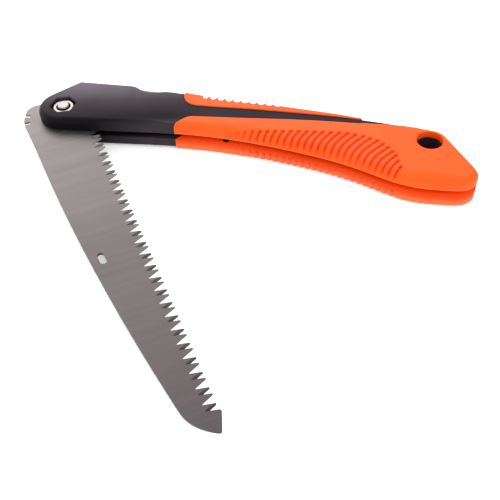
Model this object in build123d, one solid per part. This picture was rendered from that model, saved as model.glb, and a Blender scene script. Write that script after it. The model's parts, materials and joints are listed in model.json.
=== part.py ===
from build123d import *
import math
import os

# Folding pruning saw, half open, lying on its side.
# Working frame while modelling: origin on the pivot axis at the middle of the blade's thickness,
# X along the straight front of the handle towards the butt, Y towards the handle's back (spine),
# Z across the handle. At the end everything is shifted so that the origin is under the middle
# of the whole saw, on the surface it lies on.

# ---- driving dimensions, millimetres and degrees ----
BLADE_THICKNESS = 1.2
BLADE_REST_ANGLE = -55.0
BLADE_LENGTH = 199.7
TOOTH_LINE = 12.2
TOOTH_DEPTH = 5.0
TOOTH_PITCH = 3.61
TOOTH_LEAN = 1.03
TOOTH_COUNT = 47
FIRST_GULLET = 20.9
GULLET_FLOOR = 0.35
BEVEL_SHIFT = 0.45
TANG_RADIUS = 21.2
NOTCH_ANGLES = (247.0, 265.0)
NOTCH_DEPTH = 2.8
NOTCH_WIDTH = 2.0

SLOT_GAP = 3.3
SHELL_HALF = 7.8
GRIP_HALF = 8.2
STRIPE_HALF = 7.3
STRIPE_RAMP = (45.0, 59.0)
SHELL_EDGE = 3.0
UPPER_GRIP_EDGE = 3.4
LOWER_GRIP_EDGE = 1.8
STRIP_EDGE = 2.4
PEAK_EDGE = 1.5
NOSE_RADIUS = 12.5
WEB_TOP = 4.7
FOLDED_ANGLE = -7.0
TOOTH_ROOM = 1.5
RIB_START = 51.0
SLOT_REAR = 191.0
SLOT_MOUTH = (206.5, -14.5)
RUNNING_FIT = 0.05
FREE_FIT = 0.1

BUSH_RADIUS = 4.0
WASHER_RADIUS = 8.0
WASHER_FLOAT = 0.02
BOLT_RADIUS = 3.0
BOLT_END = 7.4
HEX_AF = 10.0
HEX_TURN = 22.0
NUT_RECESS_AF = 11.6
HEAD_RECESS_AF = 10.4
NUT_FLOOR = 3.1
NUT_HEIGHT = 3.2
HEAD_FLOOR = 3.6
HEAD_HEIGHT = 3.9
RECESS_BREAK = 0.4
THREAD_BREAK = 0.7
BOLT_BREAK = 0.4

LOCK_DIRECTION = 62.0
LOCK_DROP = 4.5
LOCK_BAR_THICKNESS = 3.0
LOCK_PIN = (27.5, 14.5)
LOCK_PIN_RADIUS = 1.5
LOCK_PIN_HALF = 5.4
LOCK_TIP_RADIUS = 20.15
LOCK_TOOTH_HALF = 0.6
LOCK_ARCH_RADIUS = 21.6
PAD_HALF = 5.6
PAD_RIBS = 4
POCKET_HALF = 6.1
POCKET_ENDS = (32.4, 44.6)
POCKET_FLOOR = 13.9
SPRING_SEAT = (44.5, 9.6)
SPRING_RADIUS = 1.2
SPRING_WIRE = 0.45
SPRING_LENGTH = 3.3

HANG_HOLE = (182.8, 4.2)
HANG_HOLE_RADIUS = 6.2
LINER_BORE = 5.0

SCREW_PLACES = ((55.0, 11.5), (84.0, 8.0), (112.0, 10.7))
SCREW_RADIUS = 1.25
SCREW_HEAD_RADIUS = 2.1
SCREW_SEAT = 5.6
SCREW_DEPTH = 4.0
SCREW_HEAD_HEIGHT = 1.6
SCREW_CROSS = (2.4, 0.6, 1.4)

SCALLOP_COUNT = 10
SCALLOP_START = 70.0
SCALLOP_PITCH = 4.15
SCALLOP_RADIUS = 1.5
SCALLOP_DEPTH = 2.0
SCALLOP_FADE = 0.15
SPINE_AT_SCALLOPS = 19.9
SPINE_SLOPE = -0.0635

SLOT_PAD = (85.4, -2.0)
SLOT_PAD_RADIUS = 1.5
SLOT_PAD_BASE = -3.6
SLOT_PAD_GAP = 0.35
BUMPER_PLACE = (190.0, -8.9)
BUMPER_SIZE = (7.0, 2.6)

FAR = 60.0
REAR = 240.0
HALF_SLOT = SLOT_GAP / 2
HALF_BLADE = BLADE_THICKNESS / 2


def polar(radius, angle):
    """Point at a distance from the pivot and an angle from X."""
    return (radius * math.cos(math.radians(angle)), radius * math.sin(math.radians(angle)))


def prism(points, low, high):
    """Upright solid with straight sides through the given plan points."""
    return Pos(0, 0, low) * extrude(make_face(Polyline(*points, close=True)), high - low)


def disc(centre, radius, low, high):
    """Upright cylinder between two heights."""
    return Pos(centre[0], centre[1], low) * extrude(Circle(radius), high - low)


def hexagon(across_flats, low, high):
    """Upright hexagonal solid on the pivot axis, with a corner towards the spine."""
    face = RegularPolygon(across_flats / 2, 6, major_radius=False, rotation=HEX_TURN)
    return Pos(0, 0, low) * extrude(face, high - low)


def flipped(shape):
    """The same shape on the other side of the blade's plane."""
    return mirror(shape, about=Plane.XY)


# ---- handle outline in plan ----
PEAK = (1.4, 21.3)
BELLY_END = (43.4, -7.3)


def tangent_point(outside, side):
    """Where a line from a point outside the nose's circle touches it."""
    distance = math.hypot(*outside)
    turn = math.degrees(math.acos(NOSE_RADIUS / distance))
    return polar(NOSE_RADIUS, math.degrees(math.atan2(outside[1], outside[0])) + side * turn)


CHAMFER_START = tangent_point(PEAK, 1)
BELLY_START = tangent_point(BELLY_END, -1)


def spine_line():
    """Back of the handle, from the peak over the nose to the butt corner."""
    straight = Line(PEAK, (29.5, 22.6))
    dip = Spline((29.5, 22.6), (35.5, 20.3), (41.5, 19.4), (47, 20.6), (53, 21.1),
                 tangents=(straight % 1, (1, -0.03)))
    rear = Spline((53, 21.1), (66, 20.2), (98, 18.2), (130, 16.6), (172, 14.4), (184, 13.1),
                  tangents=((1, -0.03), (1, -0.15)))
    return [straight, dip, rear]


def butt_line():
    """End of the handle, from the spine round to the belly."""
    back = Line((191.4, 8.1), (203.4, -8.7))
    corner = Spline((184, 13.1), (188.4, 11.5), (191.4, 8.1), tangents=((1, -0.15), back % 0))
    end = Spline((203.4, -8.7), (205.9, -14.2), (202.6, -19.6), tangents=(back % 1, (-0.8, -0.6)))
    return [corner, back, end]


def belly_line():
    """Belly of the handle, from the butt round to the nose."""
    front = Line(BELLY_END, BELLY_START)
    middle = (-0.96, 0.28)
    hook = Spline((202.6, -19.6), (192, -22.2), (181.9, -22.8), (170.7, -21.3), (148.3, -14.0),
                  tangents=((-0.8, -0.6), middle))
    long = Spline((148.3, -14.0), (126.8, -9.3), (105.2, -6.4), (82, -5.0), BELLY_END,
                  tangents=(middle, front % 0))
    return [hook, long, front]


def handle_outline():
    """Side outline of the handle as one face."""
    nose = ThreePointArc(BELLY_START, polar(NOSE_RADIUS, -150), CHAMFER_START)
    edges = spine_line() + butt_line() + belly_line() + [nose, Line(CHAMFER_START, PEAK)]
    face = make_face(edges)
    peak = face.vertices().sort_by_distance(Vector(*PEAK))[0]
    return fillet(peak, PEAK_EDGE)


def slot_face():
    """Plan of the free space between the halves: all of the front, then below the folded teeth."""
    slope = math.tan(math.radians(FOLDED_ANGLE))
    roof = TOOTH_LINE / math.cos(math.radians(FOLDED_ANGLE)) + TOOTH_ROOM
    ledge = SPRING_SEAT[0] - 4
    points = ((-FAR, -FAR), (-FAR, FAR), (RIB_START, FAR), (RIB_START, SPRING_SEAT[1]),
              (ledge, SPRING_SEAT[1]), (ledge, roof + slope * ledge),
              (SLOT_REAR, roof + slope * SLOT_REAR), SLOT_MOUTH,
              (REAR, SLOT_MOUTH[1]), (REAR, -FAR))
    return make_face(Polyline(*points, close=True))


def half_form(top, edge_radius):
    """Upper half of the handle's whole form, with a rounded rim and the slot cut away."""
    body = extrude(handle_outline(), top)
    rim = body.faces().sort_by(Axis.Z)[-1].edges()
    body = fillet(rim, edge_radius)
    return body - extrude(slot_face(), HALF_SLOT)


# ---- where the orange grips lie, in plan ----
def belly_zone():
    """Orange belly and butt, below and behind the black stripe."""
    edges = [
        Line((59.2, -FAR), (59.2, -8)),
        Spline((59.2, -8), (60.2, -5.6), (62.6, -2.2), (64.8, 0.4), (68.5, 2.0), tangents=((0, 1), (1, 0.14))),
        Spline((68.5, 2.0), (92, 4.9), (115, 7.9), (141, 10.5), (170, 13.1), tangents=((1, 0.14), (1, 0.1))),
        Polyline((170, 13.1), (176, 14.7), (176, FAR), (REAR, FAR), (REAR, -FAR), (59.2, -FAR)),
    ]
    return make_face(edges)


def spine_zone():
    """Orange strip along the back, above the black stripe."""
    edges = [
        Line((58.9, FAR), (58.9, 18.9)),
        Spline((58.9, 18.9), (61, 13.9), (67.2, 11.3), tangents=((0.1, -1), (1, 0.02))),
        Spline((67.2, 11.3), (90, 12.8), (112, 13.9), (132, 14.6), (148, 14.9), tangents=((1, 0.02), (1, 0.02))),
        Polyline((148, 14.9), (153, 17.5), (153, FAR), (58.9, FAR)),
    ]
    return make_face(edges)


def web():
    """Black core under the orange grips, about 5 mm inside the handle's edges."""
    points = ((56, 16.2), (98, 13.4), (130, 11.2), (172, 8.8), (182, 7.2), (187.2, 5.0), (199.1, -9.6),
              (199.6, -13.6), (196.9, -15.5), (191, -16.8), (182, -17.2), (172, -15.8), (150, -9.1),
              (127.5, -4.4), (105.5, -1.5), (82, 0), (56, -0.9))
    return prism(points, 0, WEB_TOP)


def stripe_relief():
    """What is taken off above the stripe, so that it lies lower than the bare front."""
    start, end = STRIPE_RAMP
    side = Polyline((start, SHELL_HALF), (end, STRIPE_HALF), (REAR, STRIPE_HALF),
                    (REAR, GRIP_HALF), (start, GRIP_HALF), close=True)
    return extrude(Plane.XZ * make_face(side), FAR, both=True)


def hardware_cuts():
    """Everything that is bored or sunk into both halves alike."""
    cuts = [disc((0, 0), BOLT_RADIUS + FREE_FIT, 0, SHELL_HALF)]
    cuts.append(disc(LOCK_PIN, LOCK_PIN_RADIUS, 0, LOCK_PIN_HALF + FREE_FIT))
    cuts.append(disc(HANG_HOLE, HANG_HOLE_RADIUS, 0, GRIP_HALF))
    return cuts


def hex_recess(across_flats, floor):
    """Hexagonal recess down to its floor, with the sharp edge of its mouth broken."""
    mouth = RegularPolygon(across_flats / 2 + RECESS_BREAK, 6, major_radius=False, rotation=HEX_TURN)
    funnel = Pos(0, 0, SHELL_HALF) * extrude(mouth, -RECESS_BREAK, taper=45)
    return hexagon(across_flats, floor, SHELL_HALF) + funnel


def pad_pocket():
    """Room for the thumb pad in the dip, with a thin wall left on each side."""
    start, end = POCKET_ENDS
    corners = ((start, POCKET_FLOOR), (start, FAR), (end, FAR), (end, POCKET_FLOOR))
    return prism(corners, 0, POCKET_HALF)


def bumper_pocket():
    """Seat of the nose bumper in the roof of the slot."""
    block = Box(BUMPER_SIZE[0], BUMPER_SIZE[1], SLOT_GAP)
    return Pos(BUMPER_PLACE[0], BUMPER_PLACE[1], 0) * Rot(0, 0, FOLDED_ANGLE) * block


def upper_core():
    """Black half core: bare front, stripe and tapering point, and the web under the grips."""
    bare = half_form(SHELL_HALF, SHELL_EDGE) - stripe_relief()
    bare -= extrude(belly_zone(), GRIP_HALF)
    bare -= extrude(spine_zone(), GRIP_HALF)
    core = bare + (web() - extrude(slot_face(), HALF_SLOT))
    for cut in hardware_cuts():
        core -= cut
    return core - pad_pocket() - bumper_pocket()


def upper_shell():
    """Upper black half with the nut's recess and the screws' blind holes."""
    shell = upper_core() - hex_recess(NUT_RECESS_AF, NUT_FLOOR)
    for place in SCREW_PLACES:
        shell -= disc(place, SCREW_RADIUS, 0, SCREW_DEPTH)
    return shell


def lower_shell():
    """Lower black half with the bolt head's recess and the screws' stepped holes."""
    shell = upper_core() - hex_recess(HEAD_RECESS_AF, HEAD_FLOOR)
    for place in SCREW_PLACES:
        shell -= disc(place, SCREW_RADIUS + FREE_FIT, 0, SHELL_HALF)
        shell -= disc(place, SCREW_HEAD_RADIUS + FREE_FIT, SCREW_SEAT, SHELL_HALF)
    return flipped(shell)


def grip_panel(edge_radius):
    """Orange panel of one half: belly and butt."""
    panel = half_form(GRIP_HALF, edge_radius) & extrude(belly_zone(), GRIP_HALF)
    panel -= web()
    return panel - disc(HANG_HOLE, HANG_HOLE_RADIUS, 0, GRIP_HALF)


def spine_strip():
    """Orange strip of one half, scalloped for the thumb along its outer edge."""
    strip = half_form(GRIP_HALF, STRIP_EDGE) & extrude(spine_zone(), GRIP_HALF)
    strip -= web()
    for step in range(SCALLOP_COUNT):
        along = SCALLOP_PITCH * step
        depth = SCALLOP_DEPTH - SCALLOP_FADE * step
        middle = SPINE_AT_SCALLOPS + SPINE_SLOPE * along + SCALLOP_RADIUS - depth
        strip -= disc((SCALLOP_START + along, middle), SCALLOP_RADIUS, 0, GRIP_HALF)
    return strip


# ---- blade, in its own frame: U from the pivot to the nose, V towards the teeth ----
def blade_outline():
    """Blade with a straight tooth line, a bowed back, a hooked nose and a round-cornered tang."""
    half_tang = polar(TANG_RADIUS, NOTCH_ANGLES[1] + 4.0)
    edges = [
        ThreePointArc((20, -19.6), (101.4, -13.5), (181.2, -2.3)),
        Spline((181.2, -2.3), (190.2, -0.2), (196.6, 4.7), (BLADE_LENGTH, 9.0),
               tangents=((1, 0.2), (0.5, 0.87))),
        ThreePointArc((BLADE_LENGTH, 9.0), (199.75, 9.8), (199.1, 10.4)),
        Polyline((199.1, 10.4), (192.1, 12.9), (190.6, TOOTH_LINE), (16, TOOTH_LINE)),
        Line((16, TOOTH_LINE), (-8, TOOTH_LINE)),
        RadiusArc((-8, TOOTH_LINE), (-14.6, 5.6), 6.6),
        Line((-14.6, 5.6), (-14.6, -13.6)),
        ThreePointArc((-14.6, -13.6), (-12.9, -17.0), polar(TANG_RADIUS, 242.5)),
        ThreePointArc(polar(TANG_RADIUS, 242.5), polar(TANG_RADIUS, 256.0), half_tang),
        Line(half_tang, (20, -19.6)),
    ]
    return make_face(edges)


def gullet(position, shift):
    """Slanting V groove between two teeth; a positive shift leans it towards the nose."""
    reach = 2.5
    rise = TOOTH_DEPTH + reach
    lead = TOOTH_LEAN / TOOTH_DEPTH * rise
    trail = (TOOTH_PITCH - TOOTH_LEAN - GULLET_FLOOR) / TOOTH_DEPTH * rise
    floor = TOOTH_LINE - TOOTH_DEPTH
    points = ((position, floor), (position + lead, floor + rise),
              (position - GULLET_FLOOR - trail, floor + rise), (position - GULLET_FLOOR, floor))
    profile = make_face(Polyline(*points, close=True))
    lean = Vector(2 * shift, 0, BLADE_THICKNESS)
    start = Pos(-2 * shift, 0, -HALF_BLADE - BLADE_THICKNESS / 2)
    return start * extrude(profile, amount=2 * lean.length, dir=lean)


def blade():
    """Blade turned to its rest angle."""
    plate = Pos(0, 0, -HALF_BLADE) * extrude(blade_outline(), BLADE_THICKNESS)
    cuts = []
    for tooth in range(TOOTH_COUNT + 1):
        side = -1 if tooth % 2 else 1
        cuts.append(gullet(FIRST_GULLET + TOOTH_PITCH * tooth, side * BEVEL_SHIFT))
    for angle in NOTCH_ANGLES:
        slot = Pos(TANG_RADIUS + 1.0 - NOTCH_DEPTH / 2, 0) * Rectangle(NOTCH_DEPTH + 2.0, NOTCH_WIDTH)
        cuts.append(Rot(0, 0, angle) * Pos(0, 0, -HALF_BLADE) * extrude(slot, BLADE_THICKNESS))
    obround = Pos(103.5, -8.0) * Rot(0, 0, 6) * SlotOverall(6.6, 3.0)
    cuts.append(Pos(0, 0, -HALF_BLADE) * extrude(obround, BLADE_THICKNESS))
    cuts.append(disc((0, 0), BUSH_RADIUS + RUNNING_FIT, -HALF_BLADE, HALF_BLADE))
    return Rot(0, 0, BLADE_REST_ANGLE) * (plate - cuts)


# ---- pivot hardware ----
def pivot_bush():
    """Sleeve clamped between the halves; the blade turns on it."""
    bore = disc((0, 0), BOLT_RADIUS + RUNNING_FIT, -HALF_SLOT, HALF_SLOT)
    return disc((0, 0), BUSH_RADIUS, -HALF_SLOT, HALF_SLOT) - bore


def blade_washer():
    """Thin washer between the blade and the upper half."""
    low = HALF_BLADE + WASHER_FLOAT
    high = HALF_SLOT - WASHER_FLOAT
    hole = disc((0, 0), BUSH_RADIUS + RUNNING_FIT, low, high)
    return disc((0, 0), WASHER_RADIUS, low, high) - hole


def corner_cone(low, height):
    """Cone that takes the corners off a hexagon's upper face."""
    top_radius = 0.49 * HEX_AF
    return Pos(0, 0, low + height / 2) * Cone(top_radius + 1.73 * height, top_radius, height)


def pivot_bolt():
    """Hexagon-head bolt entered from underneath, its end just below the upper rim."""
    head = hexagon(HEX_AF, HEAD_FLOOR, HEAD_FLOOR + HEAD_HEIGHT) & corner_cone(HEAD_FLOOR, HEAD_HEIGHT)
    shank = disc((0, 0), BOLT_RADIUS, -HEAD_FLOOR, BOLT_END)
    return flipped(head) + chamfer(shank.edges().group_by(Axis.Z)[-1], BOLT_BREAK)


def pivot_nut():
    """Thin nut in the upper recess, its thread's mouth countersunk."""
    top = NUT_FLOOR + NUT_HEIGHT
    nut = hexagon(HEX_AF, NUT_FLOOR, top) & corner_cone(NUT_FLOOR, NUT_HEIGHT)
    sink = Cone(BOLT_RADIUS, BOLT_RADIUS + THREAD_BREAK, THREAD_BREAK)
    nut -= Pos(0, 0, top - THREAD_BREAK / 2) * sink
    return nut - disc((0, 0), BOLT_RADIUS, NUT_FLOOR, top)


# ---- lock, drawn where its tooth is down in a notch, then lifted to the rest position ----
def lifted(shape):
    """Turns a lock piece about its pin from the locked to the rest position."""
    pin = Pos(LOCK_PIN[0], LOCK_PIN[1], 0)
    return pin * Rot(0, 0, -LOCK_DROP) * pin.inverse() * shape


def lock_profile():
    """Side outline of the rocking bar: tooth, arched front, pin boss and tail."""
    across = polar(LOCK_TOOTH_HALF, LOCK_DIRECTION + 90)
    tip = polar(LOCK_TIP_RADIUS, LOCK_DIRECTION)
    root = polar(LOCK_ARCH_RADIUS, LOCK_DIRECTION)
    tip_front = (tip[0] + across[0], tip[1] + across[1])
    tip_back = (tip[0] - across[0], tip[1] - across[1])
    root_back = (root[0] - across[0], root[1] - across[1])
    arch_end = polar(LOCK_ARCH_RADIUS, 42.0)
    edges = [
        Polyline(tip_front, (10.1, 20.2), (26.5, 22.1), (30.8, 21.9), (31.8, 18.3), (43, 18.9),
                 (47.5, 17.6), (47.5, 15.2), (40, 13.4)),
        Spline((40, 13.4), (33, 12.0), (27.5, 11.1), (21, 12.0), arch_end,
               tangents=((-1, -0.25), (-0.72, 0.69))),
        ThreePointArc(arch_end, polar(LOCK_ARCH_RADIUS, 52.0), root_back),
        Polyline(root_back, tip_back, tip_front),
    ]
    return make_face(edges)


def lock_bar_locked():
    """Rocking bar with its pin hole, tooth down."""
    half = LOCK_BAR_THICKNESS / 2
    bar = Pos(0, 0, -half) * extrude(lock_profile(), LOCK_BAR_THICKNESS)
    return bar - disc(LOCK_PIN, LOCK_PIN_RADIUS + RUNNING_FIT, -half, half)


def thumb_pad_locked():
    """Ribbed pad on the bar's tail, straddling it."""
    side = make_face(Polyline((33.2, 16.6), (33.2, 21.6), (42.6, 22.2), (42.6, 16.6), close=True))
    block = Pos(0, 0, -PAD_HALF) * extrude(side, 2 * PAD_HALF)
    block = fillet(block.edges().group_by(Axis.Y)[-1], 0.8)
    for rib in range(PAD_RIBS):
        block -= Pos(34.9 + 2.0 * rib, 22.55 + 0.13 * rib, 0) * Cylinder(0.8, 2 * PAD_HALF)
    return block - lock_bar_locked()


def lock_spring():
    """Short coil spring standing on the ledge under the bar's tail."""
    pitch = SPRING_LENGTH / 4
    path = Helix(pitch, SPRING_LENGTH - SPRING_WIRE, SPRING_RADIUS)
    section = Plane(path @ 0, z_dir=path % 0) * Circle(SPRING_WIRE / 2)
    coil = sweep(section, path)
    stand = Pos(SPRING_SEAT[0], SPRING_SEAT[1] + SPRING_WIRE / 2, 0) * Rot(-90, 0, 0)
    return stand * coil


def lock_bar_pin():
    """Dowel through both halves that the bar rocks on."""
    return disc(LOCK_PIN, LOCK_PIN_RADIUS, -LOCK_PIN_HALF, LOCK_PIN_HALF)


# ---- small pieces ----
def hang_hole_liner():
    """Sleeve that lines the hang hole through both cores."""
    sleeve = disc(HANG_HOLE, HANG_HOLE_RADIUS, -WEB_TOP, WEB_TOP)
    return sleeve - disc(HANG_HOLE, LINER_BORE, -WEB_TOP, WEB_TOP)


def slot_pad():
    """Round rubber pad in the lower half, just under the folded blade."""
    return disc(SLOT_PAD, SLOT_PAD_RADIUS, SLOT_PAD_BASE, -HALF_BLADE - SLOT_PAD_GAP)


def handle_screws():
    """Pan-head screws that join the halves, with a cross recess in each head."""
    screws = []
    for place in SCREW_PLACES:
        bottom = -SCREW_SEAT - SCREW_HEAD_HEIGHT
        head = disc(place, SCREW_HEAD_RADIUS, bottom, -SCREW_SEAT)
        blade_of_cross = Pos(place[0], place[1], bottom) * Box(*SCREW_CROSS)
        head -= blade_of_cross
        head -= Pos(place[0], place[1], 0) * Rot(0, 0, 90) * Pos(-place[0], -place[1], 0) * blade_of_cross
        screws.append(head + disc(place, SCREW_RADIUS, -SCREW_SEAT, SCREW_DEPTH))
    return Compound(children=screws)


def nodes():
    """Every piece of the saw by name, in the working frame."""
    strip = spine_strip()
    socket = disc(SLOT_PAD, SLOT_PAD_RADIUS, SLOT_PAD_BASE, -HALF_SLOT)
    return {
        "blade": blade(),
        "upper_shell": upper_shell(),
        "lower_shell": lower_shell(),
        "upper_grip": grip_panel(UPPER_GRIP_EDGE),
        "lower_grip": flipped(grip_panel(LOWER_GRIP_EDGE)) - socket,
        "upper_spine_grip": strip,
        "lower_spine_grip": flipped(strip),
        "pivot_bolt": pivot_bolt(),
        "pivot_nut": pivot_nut(),
        "pivot_bush": pivot_bush(),
        "upper_blade_washer": blade_washer(),
        "lower_blade_washer": flipped(blade_washer()),
        "lock_bar": lifted(lock_bar_locked()),
        "thumb_pad": lifted(thumb_pad_locked()),
        "lock_bar_pin": lock_bar_pin(),
        "lock_spring": lock_spring(),
        "hang_hole_liner": hang_hole_liner(),
        "nose_bumper": bumper_pocket(),
        "slot_pad": slot_pad(),
        "handle_screws": handle_screws(),
    }


def main():
    os.makedirs("parts", exist_ok=True)
    pieces = nodes()
    low = Vector(*(min(tuple(p.bounding_box().min)[k] for p in pieces.values()) for k in range(3)))
    high = Vector(*(max(tuple(p.bounding_box().max)[k] for p in pieces.values()) for k in range(3)))
    shift = Pos(-(low.X + high.X) / 2, -(low.Y + high.Y) / 2, -low.Z)
    for name, piece in pieces.items():
        export_step(shift * piece, f"parts/{name}.step")
    print("pivot axis and blade middle at", tuple(round(v, 3) for v in shift.position))


main()
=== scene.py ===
import json
import math

import bmesh
import bpy
import numpy as np
from mathutils import Matrix, Vector
from mathutils.geometry import delaunay_2d_cdt

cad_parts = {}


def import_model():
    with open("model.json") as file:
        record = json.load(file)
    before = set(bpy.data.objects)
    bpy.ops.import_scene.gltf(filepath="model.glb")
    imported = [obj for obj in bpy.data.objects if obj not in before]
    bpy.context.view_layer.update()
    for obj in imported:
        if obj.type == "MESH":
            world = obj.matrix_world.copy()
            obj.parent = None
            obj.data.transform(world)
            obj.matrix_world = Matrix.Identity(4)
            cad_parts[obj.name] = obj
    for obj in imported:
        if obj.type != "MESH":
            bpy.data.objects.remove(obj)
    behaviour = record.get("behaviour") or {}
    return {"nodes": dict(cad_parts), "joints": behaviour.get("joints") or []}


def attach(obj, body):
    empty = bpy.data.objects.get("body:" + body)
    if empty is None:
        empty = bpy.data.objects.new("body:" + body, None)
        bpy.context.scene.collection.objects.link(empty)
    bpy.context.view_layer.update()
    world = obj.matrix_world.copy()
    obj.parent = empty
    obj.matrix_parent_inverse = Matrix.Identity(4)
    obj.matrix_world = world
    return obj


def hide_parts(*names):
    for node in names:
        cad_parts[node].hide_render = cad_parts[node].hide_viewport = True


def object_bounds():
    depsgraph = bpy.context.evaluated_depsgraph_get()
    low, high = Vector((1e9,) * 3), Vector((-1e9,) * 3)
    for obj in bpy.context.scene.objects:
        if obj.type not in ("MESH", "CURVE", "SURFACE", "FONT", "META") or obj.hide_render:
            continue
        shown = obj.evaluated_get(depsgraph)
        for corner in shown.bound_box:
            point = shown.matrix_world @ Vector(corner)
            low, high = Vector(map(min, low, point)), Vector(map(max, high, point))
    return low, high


# Folding pruning saw, half open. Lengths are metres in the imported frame, unless a comment says otherwise.


def mm(value):
    """Millimetres in metres."""
    return value / 1000.0


# ---------------------------------------------------------------- frame
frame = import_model()
cad_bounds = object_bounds()
joints = {joint["name"]: joint for joint in frame["joints"]}
PIVOT = Vector(joints["blade_hinge"]["pos_m"])
BLADE_ANGLE = math.radians(-55.0)
ALONG_BLADE = (math.cos(BLADE_ANGLE), math.sin(BLADE_ANGLE), 0.0)
ALONG_HANDLE = (1.0, 0.0, 0.0)
UP_THE_NOSE = (-0.25, 1.0, 0.0)  # from its belly to its spine
WHITE = (1.0, 1.0, 1.0)


# ---------------------------------------------------------------- material helpers
# Sockets of the Mix node when it mixes colours.
MIX_FACTOR = 0
MIX_FIRST = 6
MIX_SECOND = 7
MIX_RESULT = 2


def new_material(name):
    """Empty node material with a Principled shader wired to its output."""
    material = bpy.data.materials.new(name)
    material.use_nodes = True
    tree = material.node_tree
    tree.nodes.clear()
    output = tree.nodes.new("ShaderNodeOutputMaterial")
    shader = tree.nodes.new("ShaderNodeBsdfPrincipled")
    tree.links.new(shader.outputs["BSDF"], output.inputs["Surface"])
    return material, tree, shader


def object_space(tree, turn=0.0, scale=(1.0, 1.0, 1.0)):
    """Object coordinates, moved to the pivot, turned about Z and scaled."""
    coordinates = tree.nodes.new("ShaderNodeTexCoord")
    moved = tree.nodes.new("ShaderNodeMapping")
    moved.inputs["Location"].default_value = -PIVOT
    tree.links.new(coordinates.outputs["Object"], moved.inputs["Vector"])
    turned = tree.nodes.new("ShaderNodeMapping")
    turned.inputs["Rotation"].default_value = (0.0, 0.0, -turn)
    tree.links.new(moved.outputs["Vector"], turned.inputs["Vector"])
    scaled = tree.nodes.new("ShaderNodeMapping")
    scaled.inputs["Scale"].default_value = scale
    tree.links.new(turned.outputs["Vector"], scaled.inputs["Vector"])
    return scaled.outputs["Vector"]


def noise(tree, vector, scale, detail=3.0, roughness=0.5):
    """Noise texture's factor; the scale is in waves per metre."""
    node = tree.nodes.new("ShaderNodeTexNoise")
    node.inputs["Scale"].default_value = scale
    node.inputs["Detail"].default_value = detail
    node.inputs["Roughness"].default_value = roughness
    tree.links.new(vector, node.inputs["Vector"])
    return node.outputs["Fac"]


def measured(tree, along, start, end):
    """0 to 1 between two distances from the pivot, measured along a direction."""
    gauge = tree.nodes.new("ShaderNodeVectorMath")
    gauge.operation = "DOT_PRODUCT"
    gauge.inputs[1].default_value = along
    tree.links.new(object_space(tree), gauge.inputs[0])
    spread = tree.nodes.new("ShaderNodeMapRange")
    spread.inputs["From Min"].default_value = start
    spread.inputs["From Max"].default_value = end
    tree.links.new(gauge.outputs["Value"], spread.inputs["Value"])
    return spread.outputs["Result"]


def ramp(tree, factor, stops):
    """Colour ramp through (position, colour) stops; a colour may be one grey number."""
    node = tree.nodes.new("ShaderNodeValToRGB")
    elements = node.color_ramp.elements
    while len(elements) < len(stops):
        elements.new(0.5)
    for element, (position, colour) in zip(elements, stops):
        element.position = position
        grey = isinstance(colour, (int, float))
        element.color = (colour, colour, colour, 1.0) if grey else (*colour, 1.0)
    tree.links.new(factor, node.inputs["Fac"])
    return node.outputs["Color"]


def mix(tree, kind, factor, first, second):
    """Colour mix node; factor, first and second are sockets or plain values."""
    node = tree.nodes.new("ShaderNodeMix")
    node.data_type = "RGBA"
    node.blend_type = kind
    for socket, value in ((MIX_FACTOR, factor), (MIX_FIRST, first), (MIX_SECOND, second)):
        target = node.inputs[socket]
        if isinstance(value, bpy.types.NodeSocket):
            tree.links.new(value, target)
        elif socket == MIX_FACTOR:
            target.default_value = value
        else:
            target.default_value = (*value, 1.0)
    return node.outputs[MIX_RESULT]


def multiplied(tree, first, second):
    """Product of two colours."""
    return mix(tree, "MULTIPLY", 1.0, first, second)


def attribute(tree, name):
    """Value of a mesh attribute."""
    node = tree.nodes.new("ShaderNodeAttribute")
    node.attribute_name = name
    return node.outputs["Fac"]


def crevice(tree, reach):
    """Ambient occlusion: 1 where the surface lies open, falling to 0 in corners and hollows; used to paint
    shade into colours.
    """
    node = tree.nodes.new("ShaderNodeAmbientOcclusion")
    node.samples = 12
    node.inputs["Distance"].default_value = reach
    return node.outputs["AO"]


def bump(tree, shader, height, strength, distance, under=None):
    """Bump from a height into the shader's normal, on top of another bump's normal if given."""
    node = tree.nodes.new("ShaderNodeBump")
    node.inputs["Strength"].default_value = strength
    node.inputs["Distance"].default_value = distance
    tree.links.new(height, node.inputs["Height"])
    if under is not None:
        tree.links.new(under, node.inputs["Normal"])
    tree.links.new(node.outputs["Normal"], shader.inputs["Normal"])
    return node.outputs["Normal"]


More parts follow.
